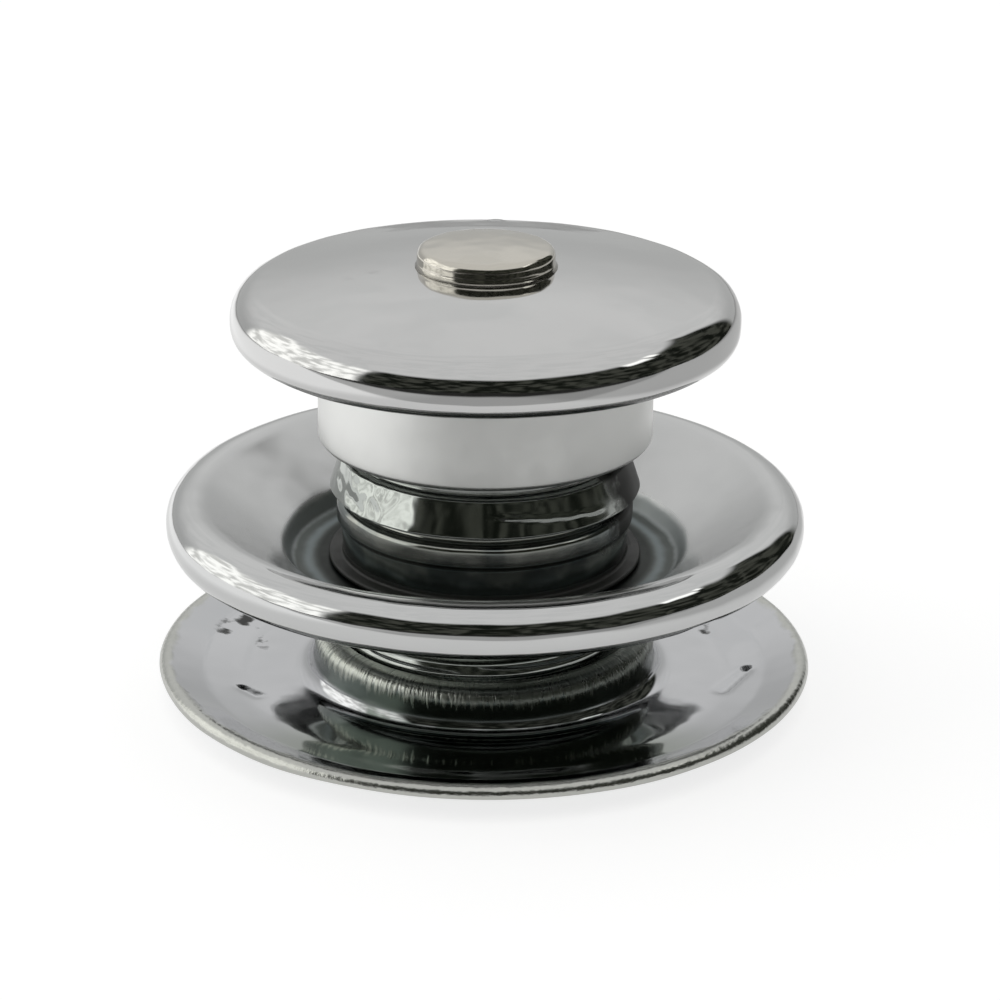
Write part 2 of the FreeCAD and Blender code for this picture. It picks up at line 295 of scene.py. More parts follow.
PLAIN_WAVE = 0.006
NICKEL_TONES = ((0.60, 0.575, 0.52), (0.55, 0.525, 0.47))
NICKEL_ROUGHNESS = (0.10, 0.15)
BRASS_TONES = ((0.72, 0.56, 0.30), (0.66, 0.50, 0.26))
BRASS_ROUGHNESS = (0.14, 0.24)
WIRE_TONES = ((0.44, 0.44, 0.45), (0.36, 0.36, 0.37))
WIRE_ROUGHNESS = (0.16, 0.28)
BALL_TONES = ((0.62, 0.62, 0.62), (0.58, 0.58, 0.58))
BALL_ROUGHNESS = (0.03, 0.06)

# Room, seen in reflections. A patch is (left, right, low, high, softness) in degrees.
ROOM_SCALE = 9.0
ROOM_SPAN = (0.42, 0.62)
ROOM_TONES = ((0.87, 0.87, 0.865), (0.81, 0.815, 0.81))
LOW_ROOM_FADE = (30, 6)
LOW_ROOM_TONE = (0.55, 0.555, 0.55)
GLOOM_PATCH = (-55, 142, -8, 42, 3)
GLOOM_TONES = ((0.010, 0.012, 0.009), (0.075, 0.078, 0.065))
WINDOW_PATCH = (-128, -56, -8, 38, 3)
WINDOW_TONES = ((1.75, 1.75, 1.7), (0.95, 0.95, 0.92))
SMALL_LIGHTS = ((74, 92, 37, 43, 2), (95, 101, 40, 45, 1.5))
SMALL_LIGHT_TONE = (1.9, 1.9, 1.85)

# Floor, in metres. An edge of the painted glow that reflections see is (from, to, share before, share after).
FLOOR_SIDE = 4
FLOOR_Z = -0.00001
TABLE_Y = (-0.05, -0.08)
GLOW_FRONT = (-0.0265, -0.0235, 0.32, 1.0)
GLOW_BACK = (0.05, 0.30, 1.0, 0.10)
GLOW_LEFT = (-0.028, -0.014, 1.5, 1.0)
GLOW_RIGHT = (0.013, 0.022, 0.80, 0.40)
FLOOR_GLOW = 0.72
PAPER_SCALE = 30
PAPER_TONES = ((0.44, 0.44, 0.44), (0.46, 0.46, 0.46))
TABLE_TONE = (0.03, 0.03, 0.028)


def node_size(node):
    """Largest radius, bottom and top of a node, in millimetres."""
    low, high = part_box(node)
    return high.x / MM, low.z / MM, high.z / MM


# Outlines

def unit(start, end):
    """Direction from one point to another."""
    step = np.subtract(end, start)
    return step / np.linalg.norm(step)


def rounded(points):
    """Every corner's arc as (start, end, centre or None), with arcs that meet on a side sharing it."""
    places = [np.array(point[:2], float) for point in points]
    radii = [point[2] if len(point) > 2 else 0 for point in points]
    count = len(points)
    halves = []
    wanted = []
    for i in range(count):
        before = unit(places[i], places[i - 1])
        after = unit(places[i], places[(i + 1) % count])
        halves.append(math.acos(np.clip(before @ after, -1, 1)) / 2)
        wanted.append(max(radii[i], 0) / math.tan(halves[i]))
    arcs = []
    for i in range(count):
        reach = wanted[i]
        for j in (i - 1, (i + 1) % count):
            side = np.linalg.norm(places[j] - places[i])
            reach = min(reach, side * wanted[i] / max(wanted[i] + wanted[j], side))
        before = unit(places[i], places[i - 1])
        after = unit(places[i], places[(i + 1) % count])
        centre = None
        if reach > 0:
            bisector = (before + after) / np.linalg.norm(before + after)
            centre = places[i] + bisector * reach / math.cos(halves[i])
        arcs.append((places[i] + before * reach, places[i] + after * reach, centre))
    return arcs


def along_arc(start, end, centre):
    """Points from the start of an arc up to its end, without the end."""
    first = start - centre
    last = end - centre
    angle = math.atan2(first[0] * last[1] - first[1] * last[0], first @ last)
    length = abs(angle) * np.linalg.norm(first)
    steps = max(3, math.ceil(abs(angle) / ARC_STEP), math.ceil(length / LINE_STEP))
    turned = []
    for i in range(steps):
        part = angle * i / steps
        turn = np.array([[math.cos(part), -math.sin(part)], [math.sin(part), math.cos(part)]])
        turned.append(centre + turn @ first)
    return turned


def along_line(start, end):
    """Points from the start of a line up to its end, without the end."""
    length = np.linalg.norm(end - start)
    steps = math.ceil(length / LINE_STEP - 1e-6)
    return [start + (end - start) * i / steps for i in range(steps)]


def closed_outline(points):
    """Fine points along a closed outline."""
    arcs = rounded(points)
    fine = []
    for i, (start, end, centre) in enumerate(arcs):
        if centre is not None:
            fine += along_arc(start, end, centre)
        fine += along_line(end, arcs[(i + 1) % len(arcs)][0])
    return np.array(fine)


def parallel(path, distance):
    """The same path a distance to its left, or to its right if that is negative, with its bends."""
    places = [np.array(point[:2], float) for point in path]
    lefts = []
    for i in range(len(path) - 1):
        across, up = unit(places[i], places[i + 1])
        lefts.append(np.array([-up, across]))
    moved = [tuple(places[0] + lefts[0] * distance)]
    for i in range(1, len(path) - 1):
        mitre = (lefts[i - 1] + lefts[i]) / np.linalg.norm(lefts[i - 1] + lefts[i])
        place = places[i] + mitre * distance / (mitre @ lefts[i])
        turn = math.copysign(1, lefts[i - 1][0] * lefts[i][1] - lefts[i - 1][1] * lefts[i][0])
        moved.append((*place, path[i][2] - distance * turn))
    moved.append(tuple(places[-1] + lefts[-1] * distance))
    return moved


def pressed_sheet(path, thickness, edge):
    """Outline of a sheet along a path, to its left, or to its right if the thickness is negative."""
    other = parallel(path, thickness)
    near = [path[0] + (edge,)] + path[1:-1] + [path[-1] + (edge,)]
    far = [other[0] + (edge,)] + other[1:-1] + [other[-1] + (edge,)]
    return closed_outline(near + far[::-1])


# Turned meshes

def mesh_object(name, places, faces):
    """Smooth mesh object from points in millimetres, with its faces turned outwards."""
    mesh = bpy.data.meshes.new(name)
    mesh.from_pydata(np.array(places) * MM, [], faces)
    built = bmesh.new()
    built.from_mesh(mesh)
    bmesh.ops.recalc_face_normals(built, faces=built.faces)
    built.to_mesh(mesh)
    built.free()
    mesh.shade_smooth()
    piece = bpy.data.objects.new(name, mesh)
    bpy.context.scene.collection.objects.link(piece)
    return piece


def lathe(name, outline):
    """Mesh object turned from a closed outline. Points on the axis are joined into one."""
    angles = 2 * math.pi * np.arange(TURNS_AROUND) / TURNS_AROUND
    rings = []
    places = []
    for radius, height in outline:
        if radius < ON_AXIS:
            rings.append([len(places)] * TURNS_AROUND)
            places.append((0, 0, height))
        else:
            rings.append(list(range(len(places), len(places) + TURNS_AROUND)))
            places += [(radius * math.cos(a), radius * math.sin(a), height) for a in angles]
    faces = []
    for i, ring in enumerate(rings):
        above = rings[(i + 1) % len(rings)]
        for j in range(TURNS_AROUND):
            k = (j + 1) % TURNS_AROUND
            face = list(dict.fromkeys([ring[j], ring[k], above[k], above[j]]))
            if len(face) > 2:
                faces.append(face)
    return mesh_object(name, places, faces)


def coil(name, radius, wire_r, bottom, top, turns):
    """Wire coil as a mesh tube."""
    steps = round(turns * COIL_STEPS)
    places = []
    for i in range(steps + 1):
        angle = 2 * math.pi * turns * i / steps
        height = bottom + (top - bottom) * i / steps
        for j in range(WIRE_SIDES):
            side = 2 * math.pi * j / WIRE_SIDES
            reach = radius + wire_r * math.cos(side)
            rise = wire_r * math.sin(side)
            places.append((reach * math.cos(angle), reach * math.sin(angle), height + rise))
    last = steps * WIRE_SIDES
    faces = [list(range(WIRE_SIDES)), list(range(last, last + WIRE_SIDES))]
    for i in range(steps):
        ring = i * WIRE_SIDES
        for j in range(WIRE_SIDES):
            k = (j + 1) % WIRE_SIDES
            faces.append([ring + j, ring + k, ring + WIRE_SIDES + k, ring + WIRE_SIDES + j])
    return mesh_object(name, places, faces)


# Relief

def reshape(piece, change):
    """Moves each vertex by change(place, normal), in millimetres."""
    mesh = piece.data
    moves = [change(vertex.co / MM, vertex.normal) for vertex in mesh.vertices]
    for vertex, move in zip(mesh.vertices, moves):
        vertex.co += move * MM
    mesh.update()


def clamp(value):
    """The value, held between 0 and 1."""
    return min(max(value, 0), 1)


def waves(place, layers):
    """Smooth unevenness from layers of (height, size), in millimetres."""
    return sum(height * noise.noise(place / size) for height, size in layers)


def ridge(away, width):
    """1 in the middle of a ridge or dent, falling off smoothly to its sides."""
    return math.exp(-(away / width) ** 2)


def thread_cut(place, start, end):
    """Depth of a right-hand thread at a place, fading out at both ends of its span."""
    angle = math.atan2(place.y, place.x)
    share = clamp(min(place.z - start, end - place.z) / THREAD_FADE)
    return share * THREAD_DEPTH * (0.5 - 0.5 * math.cos(2 * math.pi * place.z / PITCH - angle))


def at(azimuth, radius, height):
    """Place at an azimuth in degrees."""
    a = math.radians(azimuth)
    return Vector((math.sin(a) * radius, -math.cos(a) * radius, height))


def knocks(place, marks):
    """Depth of knocks, each along a line from one (azimuth, radius, height) to another."""
    depth = 0
    for first, second, width, deepest in marks:
        start = at(*first)
        along = at(*second) - start
        share = clamp((place - start).dot(along) / along.length_squared)
        depth += deepest * ridge((place - start - along * share).length, width)
    return depth


# Node trees

class Tree:
    """Short calls for building a node tree. An input is a value or another node's output."""

    def __init__(self, tree):
        self.tree = tree
        self.texture = self.add("ShaderNodeTexCoord")

    def add(self, kind, **settings):
        node = self.tree.nodes.new(kind)
        for key, value in settings.items():
            setattr(node, key, value)
        return node

    def feed(self, socket, value):
        """Links an output to a socket, or sets the socket's own value. A colour has three numbers."""
        if isinstance(value, bpy.types.NodeSocket):
            self.tree.links.new(value, socket)
        elif socket.type == "RGBA":
            socket.default_value = (*value, 1)
        else:
            socket.default_value = value

    def calc(self, operation, first, second=0.0):
        node = self.add("ShaderNodeMath", operation=operation)
        self.feed(node.inputs[0], first)
        self.feed(node.inputs[1], second)
        return node.outputs["Value"]

    def both(self, first, *others):
        """Product of shares, which is 1 only where all of them are."""
        for other in others:
            first = self.calc("MULTIPLY", first, other)
        return first

    def ramp(self, value, start, end, low=0.0, high=1.0):
        """Maps start to end smoothly onto low to high."""
        node = self.add("ShaderNodeMapRange", interpolation_type="SMOOTHSTEP")
        self.feed(node.inputs["Value"], value)
        self.feed(node.inputs["From Min"], start)
        self.feed(node.inputs["From Max"], end)
        self.feed(node.inputs["To Min"], low)
        self.feed(node.inputs["To Max"], high)
        return node.outputs["Result"]

    def between(self, value, low, high, soft):
        """1 between two limits, fading to 0 outside them."""
        after = self.ramp(value, low - soft, low + soft)
        before = self.ramp(value, high - soft, high + soft, 1.0, 0.0)
        return self.both(after, before)

    def blend(self, share, first, second):
        """Mixes two colours by a share."""
        node = self.add("ShaderNodeMix", data_type="RGBA")
        sockets = {socket.identifier: socket for socket in node.inputs}
        self.feed(sockets["Factor_Float"], share)
        self.feed(sockets["A_Color"], first)
        self.feed(sockets["B_Color"], second)
        return node.outputs[2]

    def azimuth(self, x, y):
        """Azimuth in degrees."""
        angle = self.calc("ARCTAN2", x, self.calc("MULTIPLY", y, -1.0))
        return self.calc("MULTIPLY", angle, math.degrees(1))

    def noise(self, place, scale, detail=2.0):
        texture = self.add("ShaderNodeTexNoise")
        self.feed(texture.inputs["Scale"], scale)
        self.feed(texture.inputs["Detail"], detail)
        self.feed(texture.inputs["Vector"], place)
        return texture.outputs["Fac"]

    def split(self, place):
        node = self.add("ShaderNodeSeparateXYZ")
        self.feed(node.inputs["Vector"], place)
        return node.outputs["X"], node.outputs["Y"], node.outputs["Z"]

    def bump(self, height, distance, before=None):
        node = self.add("ShaderNodeBump")
        self.feed(node.inputs["Height"], height)
        self.feed(node.inputs["Distance"], distance)
        if before is not None:
            self.feed(node.inputs["Normal"], before)
        return node.outputs["Normal"]


class Metal(Tree):
    """Bright metal: two close tones, uneven roughness, and long soft waves in the surface."""

    def __init__(self, name, tones, roughness, wave):
        self.material = bpy.data.materials.new(name)
        self.material.use_nodes = True
        super().__init__(self.material.node_tree)
        self.shader = self.tree.nodes["Principled BSDF"]
        self.place = self.texture.outputs["Object"]
        self.shader.inputs["Metallic"].default_value = 1.0
        self.colour = self.blend(self.noise(self.place, TONE_SCALE, 3), *tones)
        self.roughness = self.ramp(self.noise(self.place, GRAIN_SCALE, 4), *NOISE_SPAN, *roughness)
        self.normal = self.bump(self.noise(self.place, WAVE_SCALE, 1), wave * MM)
        self.x, self.y, self.z = [self.calc("DIVIDE", side, MM) for side in self.split(self.place)]
        self.radius = self.calc("SQRT", self.squares(self.x, self.y))
        self.turn = self.azimuth(self.x, self.y)
        self.bare = 1.0

    def squares(self, first, second):
        """Sum of two squares."""
        return self.calc("ADD", self.calc("MULTIPLY", first, first), self.calc("MULTIPLY", second, second))

    def ragged(self, value, amount, scale):
        """The same value with an uneven edge."""
        shift = self.ramp(self.noise(self.place, scale, 3), *NOISE_SPAN, -amount, amount)
        return self.calc("ADD", value, shift)

    def blotches(self, scale, low, high):
        """1 on irregular blotches, 0 between them."""
        return self.ramp(self.noise(self.place, scale, 3), low, high)

    def spot(self, x, y, size):
        """1 on a small ragged spot, seen from above."""
        area = size ** 2
        away = self.squares(self.calc("SUBTRACT", self.x, x), self.calc("SUBTRACT", self.y, y))
        return self.ramp(self.ragged(away, SPOT_RAGGED * area, SPOT_SCALE), area, area / 2)

    def lane(self, around, across):
        """Place for a noise that runs in strokes, from how far round and how far across it is."""
        node = self.add("ShaderNodeCombineXYZ")
        self.feed(node.inputs["X"], around)
        self.feed(node.inputs["Y"], across)
        return node.outputs["Vector"]

    def stain(self, share, colour):
        """Puts another tone over part of the surface."""
        self.colour = self.blend(share, self.colour, colour)

    def dull(self, share, amount):
        """Roughens part of the surface."""
        self.roughness = self.calc("ADD", self.roughness, self.calc("MULTIPLY", share, amount))

    def grime_and_shade(self, share):
        """Covers part of the surface with matt black: real grime on specks, painted shade and painted dark
        reflections elsewhere.
        """
        self.stain(share, GRIME_AND_SHADE_TONE)
        self.dull(share, GRIME_AND_SHADE_DULL)
        self.bare = self.calc("SUBTRACT", self.bare, share)

    def brush(self, share):
        """Short strokes across the turning, over part of the surface."""
        around = self.calc("MULTIPLY", self.turn, BRUSH_AROUND)
        across = self.calc("MULTIPLY", self.radius, BRUSH_ACROSS)
        streaks = self.noise(self.lane(around, across), 1.0, 3.0)
        self.normal = self.bump(self.both(streaks, share), BRUSH_RELIEF * MM, self.normal)
        self.stain(self.both(self.ramp(streaks, *BRUSH_SPAN), share), BRUSH_AND_SHADE_TONE)

    def done(self):
        """Connects the shader and gives the material. Only one with matt black patches has its metallic
        linked.
        """
        self.feed(self.shader.inputs["Base Color"], self.colour)
        self.feed(self.shader.inputs["Roughness"], self.roughness)
        self.feed(self.shader.inputs["Normal"], self.normal)
        if self.bare != 1.0:
            self.feed(self.shader.inputs["Metallic"], self.calc("MAXIMUM", self.bare, 0.0))
        return self.material


# Materials

def knob_metal():
    """Chrome, satin on the neck, with a few scratches left of the pin and a dark burr at the back."""
    metal = Metal("knob_chrome", KNOB_TONES, CHROME_ROUGHNESS, KNOB_WAVE)
    neck = metal.ramp(metal.z, *NECK_FADE)
    metal.dull(neck, NECK_DULL)
    metal.stain(neck, NECK_TONE)
    scratched = metal.both(metal.between(metal.turn, *SCRATCH_TURN),
                           metal.between(metal.radius, *SCRATCH_R))
    lines = metal.both(metal.blotches(*SCRATCH_LINES), SCRATCH_SHARE)
    metal.stain(metal.both(scratched, lines), SCRATCH_TONE)
    metal.grime_and_shade(metal.both(metal.spot(*BURR[:2], BURR_SIZE), metal.ramp(metal.z, *KNOB_ABOVE)))
    return metal.done()


def upper_metal():
    """Chrome, satin inside the crown, with painted shade in rings in the recess round the barrel, darkest at
    the hole, and a paler painted reflection ring.
    """
    metal = Metal("upper_flange_chrome", UPPER_TONES, CHROME_ROUGHNESS, FLANGE_WAVE)
    edge = metal.ragged(metal.radius, *UPPER_RAGGED)
    inside = metal.both(metal.ramp(edge, *CROWN_FADE), metal.ramp(metal.z, *SEAT_ABOVE))
    metal.dull(inside, CROWN_DULL)
    # Painted shade in the recess, in rings that darken towards the hole, with a paler painted reflection ring
    recess = metal.both(metal.ramp(edge, *RECESS_FADE), metal.ramp(metal.z, *RECESS_BELOW))
    metal.stain(recess, RECESS_SHADE_TONE)
    metal.stain(metal.ramp(edge, *FUNNEL_FADE), FUNNEL_SHADE_TONE)
    metal.stain(metal.between(edge, *REFLECTION_RING), REFLECTION_RING_TONE)
    metal.stain(metal.ramp(edge, *HOLE_FADE), HOLE_SHADE_TONE)
    metal.dull(recess, RECESS_DULL)
    metal.grime_and_shade(metal.both(metal.spot(*SPECK), metal.ramp(metal.z, *CROWN_ABOVE)))
    return metal.done()


def lower_metal():
    """Chrome, with painted shade at the front, painted dark reflections in matt black blotches, a rough rim,
    and a collar with painted shade on its wall and front root, brushed on its lip with painted shade at the
    lip's front.
    """
    metal = Metal("lower_flange_chrome", LOWER_TONES, LOWER_ROUGHNESS, FLANGE_WAVE)
    edge = metal.ragged(metal.radius, *LOWER_RAGGED)
    # Painted shade over the front of the dish
    front = metal.both(metal.between(metal.turn, *FRONT_TURN), metal.between(edge, *FRONT_R))
    metal.stain(front, FRONT_SHADE_TONE)
    # Painted dark reflections of the upper flange's edge, in matt black blotches
    for turn, radius in DARK_REFLECTIONS:
        dark_reflection = metal.both(metal.between(metal.turn, *turn), metal.between(edge, *radius))
        metal.grime_and_shade(metal.both(dark_reflection, metal.blotches(*DARK_REFLECTION_BLOTCHES)))

    # Painted shade on the collar's wall and, at the front, its root
    wall = metal.both(metal.ramp(edge, *WALL_FADE), metal.between(metal.z, *WALL_Z))
    metal.stain(wall, WALL_SHADE_TONE)
    metal.dull(wall, WALL_DULL)
    around = metal.between(metal.ragged(metal.turn, *ROOT_RAGGED), *ROOT_TURN)
    root = metal.both(metal.between(edge, *ROOT_R), around, metal.ramp(metal.z, *ROOT_BELOW))
    metal.stain(root, ROOT_SHADE_TONE)

    around = metal.calc("MULTIPLY", metal.turn, STROKES_AROUND)
    upward = metal.calc("MULTIPLY", metal.z, STROKES_UP)
    strokes = metal.calc("SUBTRACT", metal.noise(metal.lane(around, upward), 1.0, 4.0), 0.5)
    ragged = metal.calc("ADD", metal.z, strokes)
    lip = metal.both(metal.ramp(metal.radius, *LIP_FADE), metal.ramp(ragged, *LIP_ABOVE))
    metal.stain(lip, LIP_TONE)
    # Painted shade on the front of the collar's lip, in the strokes' dark tone
    shaded = metal.ramp(metal.ragged(metal.turn, *LIP_RAGGED), *LIP_SHADED_TURN, 0.0, LIP_SHADED_SHARE)
    metal.stain(metal.both(lip, shaded), BRUSH_AND_SHADE_TONE)
    metal.dull(lip, LIP_DULL)
    metal.brush(lip)

    rim = metal.ramp(edge, *RIM_FADE)
    metal.stain(rim, RIM_TONE)
    metal.dull(rim, RIM_DULL)
    grain = metal.both(metal.noise(metal.place, RIM_SCALE, 3), rim)
    metal.normal = metal.bump(grain, RIM_RELIEF * MM, metal.normal)
    return metal.done()


def barrel_metal():
    """Chrome, with painted shade and blotchy painted reflections below the band, darker painted shade at its
    foot, a matt black band of painted shade lower down, and matt black painted shade on the right.
    """
    metal = Metal("barrel_chrome", BARREL_TONES, BARREL_ROUGHNESS, FLANGE_WAVE)
    # Painted shade below the band with blotches of painted reflection, darker at the foot and matt black in a
    # band lower down
    throat = metal.both(metal.ramp(metal.z, *THROAT_FADE), metal.ramp(metal.z, *SEAT_ABOVE))
    metal.stain(throat, metal.blend(metal.blotches(*THROAT_REFLECTION_BLOTCHES), *THROAT_SHADE_TONES))
    foot = metal.ramp(metal.ragged(metal.z, *FOOT_RAGGED), *FOOT_FADE)
    metal.stain(metal.both(throat, foot), FOOT_SHADE_TONE)
    metal.dull(throat, THROAT_DULL)
    metal.grime_and_shade(metal.between(metal.z, *LOW_SHADE_Z))
    # Matt black painted shade on the right side, where the knob keeps the light off
    right = metal.between(metal.ragged(metal.turn, *RIGHT_RAGGED), *RIGHT_TURN)
    metal.grime_and_shade(metal.both(right, metal.ramp(metal.z, *RIGHT_ABOVE)))
    return metal.done()


def plain_metal(name, tones, roughness):
    """Metal without wear."""
    return Metal(name, tones, roughness, PLAIN_WAVE).done()


def wear(piece, material, body, node):
    """Gives a piece its material and body, and hides the imported node that it replaces."""
    piece.data.materials.clear()
    piece.data.materials.append(material)
    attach(piece, body)
    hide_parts(node)


# Camera

def make_camera():
    """Camera at the photograph's angle, aimed so that the axis falls on its place in the picture."""
    data = bpy.data.cameras.new("camera")
    data.sensor_width = SENSOR
    data.lens = FOCAL_PIXELS / IMAGE_PIXELS * SENSOR
    data.clip_start = 0.005
    data.clip_end = 20
    away = Vector((0, -math.cos(CAMERA_ELEVATION), math.sin(CAMERA_ELEVATION)))
    up = Vector((0, math.sin(CAMERA_ELEVATION), math.cos(CAMERA_ELEVATION)))
    middle = IMAGE_PIXELS / 2
    across = Vector((middle - AIM_PIXEL[0], 0, 0))
    forward = (across - away * FOCAL_PIXELS + up * (AIM_PIXEL[1] - middle)).normalized()
    right = forward.cross(up).normalized()
    rolled = right * math.cos(CAMERA_ROLL) + right.cross(forward) * math.sin(CAMERA_ROLL)
    camera = bpy.data.objects.new("camera", data)
    bpy.context.scene.collection.objects.link(camera)
    turn = Matrix((rolled, rolled.cross(forward), -forward)).transposed().to_4x4()
    place = Vector((0, 0, CAMERA_AIM_Z * MM)) + away * CAMERA_DISTANCE * MM
    camera.matrix_world = Matrix.Translation(place) @ turn
    bpy.context.scene.camera = camera


# Pieces

def make_lower_flange():
    rim_r, bottom, collar_top = node_size("lower_flange")
    piece = lathe("lower_flange_sheet", closed_outline([
        (COLLAR_BORE_R, bottom, COLLAR_ENTRY),
        (STAND_R, bottom, DISH_BEND),
        (rim_r, RIM_BOTTOM, RIM_EDGE),
        (rim_r, RIM_BOTTOM + RIM_THICKNESS, RIM_ROUND),
        (rim_r - KNEE_INSET, LOWER_FLOOR + KNEE_RISE, KNEE_BEND),
        (STAND_R, LOWER_FLOOR, DISH_BEND),
        (COLLAR_R, LOWER_FLOOR, COLLAR_ROOT),
        (COLLAR_R, collar_top, LIP_ROUND),
        (COLLAR_BORE_R, collar_top, SMALL_EDGE),
    ]))

    def change(place, normal):
        radius = math.hypot(place.x, place.y)
        if radius < COLLAR_BORE_R + NEAR:
            outward = Vector((place.x, place.y, 0)) / radius
            return outward * thread_cut(place, COLLAR_ENTRY, collar_top)
        rise = 0
        if place.z > bottom + STAND_FLAT:
            share = min((radius - COLLAR_BORE_R) / (rim_r - COLLAR_BORE_R), 1)
            rise = share * waves(place, LOWER_WAVES)
        if normal.z > FACING_UP:
            rise -= knocks(place, LOWER_KNOCKS)
        return normal * rise

    reshape(piece, change)
    return piece


def make_upper_flange():
    rim_r, seat, _ = node_size("upper_flange")
    piece = lathe("upper_flange_sheet", pressed_sheet([
        (FLANGE_HOLE_R, seat + SHEET),
        (FUNNEL_FOOT_R, seat + SHEET, FUNNEL_FOOT_BEND),
        (FUNNEL_LIP_R, seat + FUNNEL_LIP_HEIGHT, FUNNEL_LIP_BEND),
        (rim_r, seat + CORNER_HEIGHT, RIM_BEND),
        (rim_r, seat + SKIRT_HEIGHT, RIM_BEND),
        (rim_r - CURL, seat + SKIRT_HEIGHT),
    ], -SHEET, SHEET_EDGE))

    def change(place, normal):
        radius = math.hypot(place.x, place.y)
        share = clamp((radius - FLANGE_HOLE_R - UPPER_EVEN) / UPPER_WAVES_FADE)
        return normal * (share * waves(place, UPPER_WAVES) - knocks(place, UPPER_KNOCKS))

    reshape(piece, change)
    return piece


def make_barrel():
    _, bottom, top = node_size("barrel")
    height = top - bottom
    shares = [i / BAND_RINGS for i in range(1, BAND_RINGS)]
    band = [(BAND_R - BAND_TAPER * share, BAND_BOTTOM + (BAND_TOP - BAND_BOTTOM) * share) for share in shares]
    outline = [
        (MOUTH_R, 0, SMALL_EDGE),
        (THREAD_R - BARREL_CHAMFER, 0),
        (THREAD_R, BARREL_CHAMFER),
        (THREAD_R, STAKE_BOTTOM, SMALL_EDGE),
        (STAKE_R, STAKE_BOTTOM, SMALL_EDGE),
        (STAKE_R, STAKE_TOP, SMALL_EDGE),
        (COLLAR_BORE_R, STAKE_TOP),
        (COLLAR_BORE_R, SHOULDER_BOTTOM),
        (SHOULDER_R, SHOULDER_BOTTOM, SMALL_EDGE),
        (SHOULDER_R, SHOULDER_TOP, SMALL_EDGE),
        (THROAT_R, SHOULDER_TOP, SMALL_EDGE),
        (THROAT_R, BEAD_BOTTOM),
        (THREAD_R, BEAD_BOTTOM, BEAD_ROUND),
        (THREAD_R, BEAD_TOP, BEAD_ROUND),
        (GROOVE_R, BEAD_TOP),
        (GROOVE_R, BAND_BOTTOM),
        (BAND_R, BAND_BOTTOM, BAND_ROUND),
        *band,
        (BAND_R - BAND_TAPER, BAND_TOP, BAND_ROUND),
        (WAIST_R, BAND_TOP, SMALL_EDGE),
        (WAIST_R, height, SMALL_EDGE),
        (BUSH_R, height),
        (BUSH_R, height - BUSH_HEIGHT),
        (CHAMBER_R, height - BUSH_HEIGHT),
        (CHAMBER_R, CONE_TOP[1] + CONE_TOP_RISE),
        CONE_TOP,
        CONE_FOOT,
        (CONE_FOOT[0], MOUTH_LIP),
        (MOUTH_R, MOUTH_LIP),
    ]
    piece = lathe("barrel_turned", closed_outline([(r, bottom + z, *bend) for r, z, *bend in outline]))

    def change(place, normal):
        radius = math.hypot(place.x, place.y)
        outward = Vector((place.x, place.y, 0)) / radius
        rise = place.z - bottom
        if THREAD_R - BARREL_CHAMFER - NEAR < radius < THREAD_R + NEAR and rise < STAKE_BOTTOM + NEAR:
            return -outward * thread_cut(place, bottom, bottom + STAKE_BOTTOM)
        if radius > WAIST_R + BAND_MARGIN and SHOULDER_TOP < rise < BAND_TOP + BAND_MARGIN:
            azimuth = math.degrees(math.atan2(place.x, -place.y))
            hammered = clamp(1 - abs(azimuth - HAMMERED_AT) / HAMMERED_REACH) ** 0.5
            hammered *= clamp((rise - BEAD_TOP) / HAMMERED_FADE)
            middle = STREAK_Z + STREAK_SLOPE * azimuth + waves(place, STREAK_WAVES)
            ends = clamp(min(azimuth - STREAK_TURN[0], STREAK_TURN[1] - azimuth) / STREAK_FADE)
            streak = STREAK_RISE * ends * ridge(place.z - middle, STREAK_WIDTH)
            return outward * (waves(place, BAND_WAVES) + hammered * waves(place, HAMMERED_WAVES) + streak)
        return Vector()

    reshape(piece, change)
    return piece


def make_knob():
    knob_r, bottom, top = node_size("pull_knob")
    underside = bottom + NECK_LENGTH
    piece = lathe("knob_turned", closed_outline([
        (TENON_R, underside + KNOB_HOLLOW),
        (NECK_BORE_R, underside + KNOB_HOLLOW),
        (NECK_BORE_R, bottom, SMALL_EDGE),
        (NECK_R, bottom, NECK_ROUND),
        (NECK_R, underside, SMALL_EDGE),
        (knob_r, underside, KNOB_LOWER_ROUND),
        (knob_r, underside + KNOB_EDGE, KNOB_UPPER_ROUND),
        ((knob_r - KNOB_UPPER_ROUND) / 2, top + KNOB_DOME_RISE, KNOB_DOME_BEND),
        (TENON_R, top + KNOB_DOME_RISE),
    ]))

    def change(place, normal):
        share = clamp((math.hypot(place.x, place.y) - NECK_R) / KNOB_WAVES_FADE)
        burr = BURR_RISE * ridge((place - Vector(BURR)).length, BURR_WIDTH)
        return normal * share * (waves(place, KNOB_WAVES) + burr)

    reshape(piece, change)
    return piece


def make_pin():
    _, bottom, top = node_size("knob_pin")
    _, knob_bottom, knob_top = node_size("pull_knob")
    ceiling = knob_bottom + NECK_LENGTH + KNOB_HOLLOW
    seat = knob_top + KNOB_DOME_RISE
    piece = lathe("pin_riveted", closed_outline([
        (0, bottom),
        (PIN_FOOT_R, bottom, SMALL_EDGE),
        (PIN_FOOT_R, bottom + PIN_FOOT_HEIGHT, SMALL_EDGE),
        (SHANK_R, bottom + PIN_FOOT_HEIGHT),
        (SHANK_R, ceiling),
        (TENON_R, ceiling),
        (TENON_R, seat),
        (PIN_HEAD_R + PIN_FLARE, seat),
        (PIN_HEAD_R, seat + PIN_FLARE_HEIGHT),
        (PIN_HEAD_R, top, PIN_HEAD_ROUND),
        (PIN_HEAD_R / 2, top + PIN_DOME, PIN_DOME_BEND),
        (0, top + PIN_DOME),
    ]))

    def change(place, normal):
        return normal * clamp((place.z - seat) / PIN_WAVES_FADE) * waves(place, PIN_WAVES)

    reshape(piece, change)
    return piece


